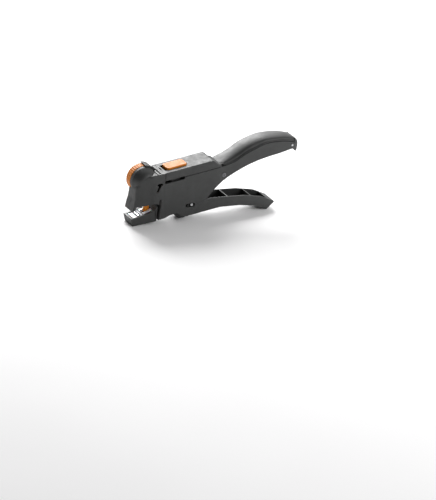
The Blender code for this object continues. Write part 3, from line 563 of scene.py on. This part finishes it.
def screw_openings(side):
    out = []
    for x, z, head_side in SCREWS.values():
        if head_side == side:
            depth = sorted((side * (HALF - SCREW_SUNK - SCREW_HEAD_H - GAP), side * (HALF + 1)))
            out.append(drill((x, z), SCREW_HEAD_R + GAP, *depth))
        through = sorted((-side * 1.0, side * (HALF - (0 if head_side == side else 3.0))))
        out.append(drill((x, z), SCREW_R + GAP, *through))
    return out


def make_shell(name, side, node, cavity, own_cuts, hood=None):
    """One half shell. The round guard on the wheel's inner face swells out to a cheek on the left side."""
    shell = on_bench(name, rounded_block(shell_outline(), shell_rounding))
    swell = smooth([(6.0, -10.4), (9.0, -9.6), (11.5, -7.2), (13.2, -4.2), (GUARD_R, -0.6)], 4)
    guard = [(0, -10.4), *swell, (GUARD_R, WHEEL_Y[0]), (GUARD_R - 0.4, WHEEL_Y[0] + 0.4),
             (0, WHEEL_Y[0] + 0.4)]
    combine(shell, lathe(guard, WHEEL_AT, 72), "UNION")
    if hood:
        combine(shell, hood, "UNION")
    far = sorted((-side * (HALF + 2), side * GAP / 2))
    cut(shell, block(-10, far[0], -20, TAIL + 10, far[1], BODY_TOP + 20), *own_cuts, cavity,
        *shared_openings(), *screw_openings(side))
    finished(shell, "graphite_plastic", "housing", node)


def make_shells():
    cavity = shell_cavity()
    swept = rounded([(27.0, 35.2, 0.6), (29.4, 35.4, 0.6), (33.4, 41.8, 1.0), (35.6, 43.0, 0.6),
                     (34.8, 45.3, 0.8), (30.0, 45.8, 1.0), (28.2, 44.0, 0.8), (30.2, 42.4, 0.8)], 4)
    make_shell("left_shell", -1, "left_housing", cavity, [
        extruded(swept, -HALF - 1, -HALF + WALL + 2),
        block(29.6, -HALF + 2.2, 52.6, 30.8, -0.4, BODY_TOP + 2),
        drill(WHEEL_AT, AXLE_R + GAP, -3.2, 0),
    ])
    arc = [math.radians(22.0 + 58.0 * i / 24) for i in range(25)]
    rim = [(WHEEL_AT[0] + HOOD_R * math.cos(a), WHEEL_AT[1] + HOOD_R * math.sin(a)) for a in arc]
    make_shell("right_shell", 1, "right_housing", cavity, [
        extruded(circle(WHEEL_AT, WHEEL_R + 0.5, 90), WHEEL_Y[0] - 0.5, HALF + 3),
        drill(WHEEL_AT, AXLE_R + GAP, 0, WHEEL_Y[0] + 1),
    ], extruded([(24.0, 50.0), *rim], 0.6, WHEEL_Y[1] + 0.5))


def make_cover():
    ramp_length = 6.5
    outline = rounded([(HEAD_END + GAP, GROOVE_Z + SEAM, 0), (HEAD_END + GAP, BODY_TOP, 0),
                       (COVER_END - ramp_length - 3, BODY_TOP, 4.0), (COVER_END - 3.4, 49.6, 4.0),
                       (COVER_END, 48.4, 0), (COVER_END, GROOVE_Z + SEAM, 0)])
    cover = on_bench("cover", rounded_block(outline, lambda x, z: 1.1 if z > 49 else 0.3))
    inside = rounded([(HEAD_END + WALL, GROOVE_Z - 2, 0), (HEAD_END + WALL, BODY_TOP - 2, 0.5),
                      (COVER_END - ramp_length - 4, BODY_TOP - 2, 2.0), (COVER_END - 6.0, 48.6, 2.0),
                      (COVER_END - 5.0, GROOVE_Z - 2, 0)])
    front = BUTTON_FRONT - BUTTON_TRAVEL - GAP
    back = BUTTON_FRONT + BUTTON_LENGTH + GAP
    half = BUTTON_HALF + GAP
    slot = rounded([(front, -half, 1.5), (back, -half, 2.8), (back, half, 2.8), (front, half, 1.5)])
    cut(cover, body_block(inside, WALL), extruded(slot, BODY_TOP - 4, BODY_TOP + 2, upright=True),
        feed_window(HALF + 1),
        block(HEAD_END - 1, -2.6, BODY_TOP - 1.4, HEAD_END + 1.3, 3.4, BODY_TOP + 1))
    finished(cover, "graphite_plastic", "housing", "top_cover")


# ---------------------------------------------------------------- grip and tail

def grip_section(x):
    """One half of the rubber grip's outline across the tool, from its lower lip up to the ridge."""
    bottom = height_on(GROOVE, x) + SEAM
    height = height_on(GRIP_TOP, x) - bottom
    nose = min(1.0, max(0.0, (x - COVER_END - GAP) / 7.0))
    width = half_width(x) - 5.5 * (1 - math.sqrt(1 - (1 - nose)**2))
    tail = min(1.0, (CAP_START - GAP - x) / 5.0)
    soft = min(1.0, max(0.0, height) / 5.0) * (0.5 + 0.5 * tail)
    lip = [(width - 0.5, 0), (width, 0.35), (width - 0.1, 0.9), (width - 0.9, 1.25),
           (width - 1.3 * soft, 1.7)]
    swell = [(1.2, 0.34), (1.5, 0.50), (2.3, 0.66), (3.9, 0.80), (6.4, 0.91), (9.4, 0.98)]
    side = [(width - inward * soft, max(1.9, share * height)) for inward, share in swell]
    points = smooth([*lip, *side, (0.0, max(2.0, height))], 4)
    return [(x, max(0.0, y), bottom + z) for y, z in points]


def make_grip():
    shape = bmesh.new()
    start, end = COVER_END + GAP, CAP_START - GAP
    count = 110
    stations = [start + (end - start) * (i / count)**1.15 for i in range(count + 1)]
    rings = []
    for x in stations:
        near = grip_section(x)
        loop = [(px, -py, pz) for px, py, pz in near] + [(px, py, pz) for px, py, pz in reversed(near[:-1])]
        rings.append([shape.verts.new(point) for point in loop])
    for ring, following in zip(rings, rings[1:]):
        for i in range(len(ring)):
            j = (i + 1) % len(ring)
            shape.faces.new((ring[i], ring[j], following[j], following[i]))
    shape.faces.new(rings[0])
    shape.faces.new(rings[-1])
    bmesh.ops.recalc_face_normals(shape, faces=shape.faces)
    grip = on_bench("rubber_grip", shape)
    finished(grip, "soft_rubber", "housing", "soft_grip")


def make_tail_cap():
    end = smooth([(CAP_START, 42.0), (CAP_START + 0.2, 39.2), (CAP_START + 2.0, 38.6),
                  (CAP_START + 3.8, 40.6), (TAIL - 0.4, 45.0), (TAIL - 1.0, 49.4), (TAIL - 3.0, 52.6),
                  (CAP_START, 55.0)], 5)
    cap = on_bench("tail_cap", rounded_block(end, lambda x, z: 0.8))
    finished(cap, "black_plastic", "housing", "end_cap")


# ---------------------------------------------------------------- lever

def make_lever():
    px, pz = HANDLE_PIVOT
    dx, dz = DRIVE_PIN_AT
    nose = [(px + 1.0, pz - 4.4, 3), (px - 4.4, pz - 3.6, 3.4), (px - 4.0, pz + 4.0, 3),
            (dx - 3.6, dz + 0.6, 2), (dx - 1.6, dz + 3.6, 2)]
    top = [(x, z, 14) for x, z in HANDLE_TOP[:-1]]
    bottom = [(x, z, 14) for x, z in reversed(HANDLE_BOTTOM[:-1])]
    tip = [(*HANDLE_TOP[-1], 1.2), (*HANDLE_BOTTOM[-1], 1.6)]
    outline = rounded([*nose, *top, *tip, *bottom])
    lever = on_bench("lever", extruded(outline, -HANDLE_HALF, HANDLE_HALF), 0.8, 3)
    inner = HANDLE_HALF - HANDLE_WALL
    ribs, rib = (117.0, 146.0), 0.8
    starts = (40.0, ribs[0] + rib, ribs[1] + rib)
    ends = (ribs[0] - rib, ribs[1] - rib, 166.0)
    for i, (x0, x1) in enumerate(zip(starts, ends)):
        floor_x = [x for x, _ in HANDLE_BOTTOM if x0 < x < x1 and x > 80]
        floor_x = ([x0] if i else []) + floor_x + [x1]
        floor = [(x, height_on(HANDLE_BOTTOM, x) + HANDLE_FLOOR) for x in floor_x]
        if i == 0:
            floor = [(x0, -12.0), (77.0, -12.0), (77.0, floor[0][1]), *floor]
        cut(lever, extruded([*floor, (x1, 40.0), (x0, 40.0)], -inner, inner))
    cut(lever, drill(HANDLE_PIVOT, PIVOT_R + GAP, -20, 20), drill(DRIVE_PIN_AT, DRIVE_R + GAP, -20, 20))
    finished(lever, "graphite_plastic", "lower_handle", "lower_handle")


# ---------------------------------------------------------------- jaw, inserts and stop

def make_jaw():
    outline = rounded([(0.0, 0.0, 0.8), (28.0, 0.0, 1.2), (28.4, 2.6, 1.0), (29.6, 12.3, 3.0),
                       (30.1, 17.3, 0), (28.0, 17.0, 0), (27.4, 14.8, 1.0), (24.6, 12.7, 3.0),
                       (15.2, 10.7, 6.0), (2.5, 9.2, 0.8), (-2.1, 9.3, 0.6)])
    shape = extruded(outline, -JAW_HALF, JAW_HALF)
    in_strips(shape, outline)
    for vert in shape.verts:
        vert.co.y *= 1 + JAW_FLARE * min(1.0, max(0.0, (vert.co.x - 2.0) / 24.0))
    jaw = on_bench("jaw", shape, 0.4, 2)
    pocket = rounded([(1.2, JAW_WALL, 0.5), (25.2, JAW_WALL, 1.0), (26.0, 20.0, 0.5), (0.2, 20.0, 0.5)])
    cut(jaw, extruded(pocket, -JAW_HALF + JAW_WALL, JAW_HALF - JAW_WALL))
    arm = rounded([(25.6, 5.6, 0.5), (38.0, 7.4, 3.0), (41.0, 7.2, 2.5), (46.0, 7.2, 3.0), (47.0, 17.0, 4.0),
                   (45.0, 22.4, 4.0), (38.0, 22.4, 4.0), (31.0, 14.6, 3.0), (27.0, 12.0, 1.0)])
    combine(jaw, extruded(arm, -THROAT_HALF + 0.4, THROAT_HALF - 0.4), "UNION")
    cut(jaw, block(36.0, -2.9, 3.0, 50.0, 2.9, 14.2), drill(JAW_PIVOT, PIVOT_R + GAP, -12, 12),
        drill(JAW_PIN_AT, LINK_R + GAP, -12, 12))
    finished(jaw, "graphite_plastic", "lower_jaw", "lower_jaw")

    inner = JAW_HALF - JAW_WALL - GAP
    base = JAW_WALL + GAP
    # Known fault: this runs through the lower blade and die. The CAD's insert ends at x = 7.5.
    front = on_bench("front_tray", block(1.9, -inner, base, 14.5, inner, 8.9), 0.5, 3)
    finished(front, "clear_plastic", "lower_jaw", "front_insert")
    outline = rounded([(14.8, base, 0.4), (24.6, base, 0.4), (25.3, 13.6, 1.0), (14.8, 10.2, 0.5)])
    guide = on_bench("wire_tray", extruded(outline, -inner, inner), 0.3, 3)
    # Known fault: the stop meets this floor at full squeeze. The CAD's channel starts at z = 3.3.
    cut(guide, block(10, -3.0, 7.0, 30, 3.0, 20))
    finished(guide, "clear_plastic", "lower_jaw", "wire_guide")


def make_stop():
    outline = rounded([(18.0, 9.0, 0.6), (22.8, 9.0, 0.6), (24.4, 18.6, 0.6), (24.4, 29.2, 0.4),
                       (18.6, 29.2, 0.4), (18.6, 18.6, 0.6)])
    stop = on_bench("stop_block", extruded(outline, -2.2, 2.2), 0.35, 3)
    finished(stop, "orange_plastic", "length_stop", "length_stop")


# ---------------------------------------------------------------- wheel, button and latch

def make_wheel():
    y0, y1 = WHEEL_Y
    ribs, depth, steps = 36, 0.35, 8
    rim = []
    for i in range(ribs * steps):
        angle = math.tau * i / (ribs * steps)
        radius = WHEEL_R - depth * (0.5 - 0.5 * math.cos(ribs * angle))**2
        rim.append((WHEEL_AT[0] + radius * math.cos(angle), WHEEL_AT[1] + radius * math.sin(angle)))
    wheel = on_bench("wheel", extruded(rim, y0, y1), 0.5, 3)
    cut(wheel, lathe([(5.2, y1 + 1), (11.8, y1 + 1), (11.8, y1 - 1.3), (11.4, y1 - 1.6), (5.6, y1 - 1.6),
                      (5.2, y1 - 1.3)], WHEEL_AT),
        drill(WHEEL_AT, AXLE_R + GAP, y0 - 1, y1 + 1))
    for i in range(5):
        angle = math.radians(90 + 60 * (i - 2))
        at = (WHEEL_AT[0] + 8.5 * math.cos(angle), WHEEL_AT[1] + 8.5 * math.sin(angle))
        cut(wheel, drill(at, 0.6 + 0.22 * i, y1 - 2.3, y1))
    finished(wheel, "orange_plastic", "selector_wheel", "selector_wheel")


def make_button():
    x0, x1 = BUTTON_FRONT, BUTTON_FRONT + BUTTON_LENGTH
    outline = rounded([(x0, -BUTTON_HALF, 3.0), (x1, -BUTTON_HALF, 3.0), (x1, BUTTON_HALF, 3.0),
                       (x0, BUTTON_HALF, 3.0)], 10)
    pad = extruded(outline, BODY_TOP - 1.7, BODY_TOP + BUTTON_PROUD, upright=True)
    button = on_bench("button", pad, 0.9, 5)
    combine(button, block(x0 + 4, -2.0, BODY_TOP - 3.2, x1 - 4, 2.0, BODY_TOP - 1.0), "UNION")
    finished(button, "orange_plastic", "feed_button", "feed_button")


def make_latch():
    x, z = LATCH_PIVOT
    outline = rounded([(52.6, 2.8, 0.6), (53.6, -2.0, 1.5), (58.5, -6.8, 1.5), (65.5, -7.4, 1.2),
                       (67.4, -5.9, 0.8), (64.2, -5.0, 2.0), (x + 2.4, z - 0.4, 1.5), (x + 2.2, z + 2.4, 2.0),
                       (x - 2.4, z + 2.4, 2.0), (x - 3.0, 1.0, 0.6), (55.2, 0.8, 0.3)], 5)
    latch = on_bench("latch", extruded(outline, -5.6, 5.6), 0.3, 3)
    cut(latch, drill(LATCH_PIVOT, LINK_R + GAP, -12, 12))
    finished(latch, "black_plastic", "handle_latch", "handle_latch")


def make_screws():
    """Pan heads with a cross recess, a little below the side's face."""
    for node, (x, z, side) in SCREWS.items():
        face = side * (HALF - SCREW_SUNK)
        profile = [(0, face), (SCREW_HEAD_R - 0.5, face), (SCREW_HEAD_R - 0.15, face - side * 0.15),
                   (SCREW_HEAD_R, face - side * 0.5), (SCREW_HEAD_R, face - side * SCREW_HEAD_H),
                   (SCREW_R, face - side * SCREW_HEAD_H), (SCREW_R, -side * 6.0), (0, -side * 6.0)]
        screw = on_bench(node.replace("_screw", "_cross_screw"), lathe(profile, (x, z), 40))
        depth = sorted((face - side * 0.8, face + side * 0.5))
        cut(screw, block(x - 0.35, depth[0], z - 1.4, x + 0.35, depth[1], z + 1.4),
            block(x - 1.4, depth[0], z - 0.35, x + 1.4, depth[1], z + 0.35))
        finished(screw, "dark_steel", "housing", node)


def dress_frame():
    """Gives every CAD solid the finish of its slot; the replaced ones are hidden anyway."""
    for part in frame["record"]["subparts"]:
        data = frame["nodes"][part["node"]].data
        data.materials.clear()
        data.materials.append(LOOKS[part["material_slot"]])


# ---------------------------------------------------------------- camera and light

def make_camera():
    """A long lens, seen from the left, ahead and above, level with the tool's own frame."""
    azimuth, elevation = math.radians(-30.0), math.radians(28.6)
    distance, view_height = 8000.0, 536.5
    back = Vector((math.sin(azimuth) * math.cos(elevation), -math.cos(azimuth) * math.cos(elevation),
                   math.sin(elevation)))
    right = Vector((math.cos(azimuth), math.sin(azimuth), 0))
    up = back.cross(right)
    aim = right * 95.8 - up * 28.4
    camera = bpy.data.objects.new("camera", bpy.data.cameras.new("camera"))
    bpy.context.scene.collection.objects.link(camera)
    camera.data.sensor_width = 36.0
    camera.data.lens = 36.0 * distance / view_height
    camera.data.clip_end = 50.0
    basis = Matrix((right, up, back)).transposed().to_4x4()
    camera.matrix_world = TOOL @ Matrix.Translation((aim + back * distance) * MM) @ basis
    bpy.context.scene.camera = camera


def soft_light(name, place, size, power):
    light = bpy.data.objects.new(name, bpy.data.lights.new(name, "AREA"))
    bpy.context.scene.collection.objects.link(light)
    light.data.shape = "DISK"
    light.data.size = size
    light.data.energy = power
    light.location = place
    light.rotation_euler = (Vector((0, 0, 0.03)) - Vector(place)).to_track_quat("-Z", "Y").to_euler()


def make_stage():
    """A pale floor and a room that is darker ahead of the tool's nose, so the head's front stays dark."""
    world = bpy.data.worlds.new("soft_room")
    world.use_nodes = True
    tree = world.node_tree
    tree.nodes["Background"].inputs["Color"].default_value = (1.0, 1.0, 1.0, 1.0)
    split = tree.nodes.new("ShaderNodeSeparateXYZ")
    tree.links.new(tree.nodes.new("ShaderNodeTexCoord").outputs["Generated"], split.inputs["Vector"])
    brightness = spread(tree, split.outputs["X"], 0.08, 0.75, -0.8, 0.8)
    tree.links.new(brightness, tree.nodes["Background"].inputs["Strength"])
    bpy.context.scene.world = world
    bpy.context.scene.view_settings.view_transform = "Standard"
    bpy.ops.mesh.primitive_plane_add(size=12.0)
    floor = bpy.context.object
    floor.name = "floor"
    floor.data.materials.append(finish_look("pale_floor", ((0.915, 0.912, 0.915), (0.925, 0.922, 0.925)),
                                            (0.85, 0.95), grain=300, clouds=2, edge=0.0))
    soft_light("back_softbox", (0.15, 1.05, 0.72), 1.0, 30.0)
    soft_light("side_softbox", (0.75, -0.95, 0.60), 0.8, 7.0)


make_shells()
make_cover()
make_grip()
make_tail_cap()
make_lever()
make_jaw()
make_stop()
make_wheel()
make_button()
make_latch()
make_screws()
dress_frame()
for leftover in list(bench.objects):
    bpy.data.objects.remove(leftover)
bpy.data.collections.remove(bench)
make_camera()
make_stage()
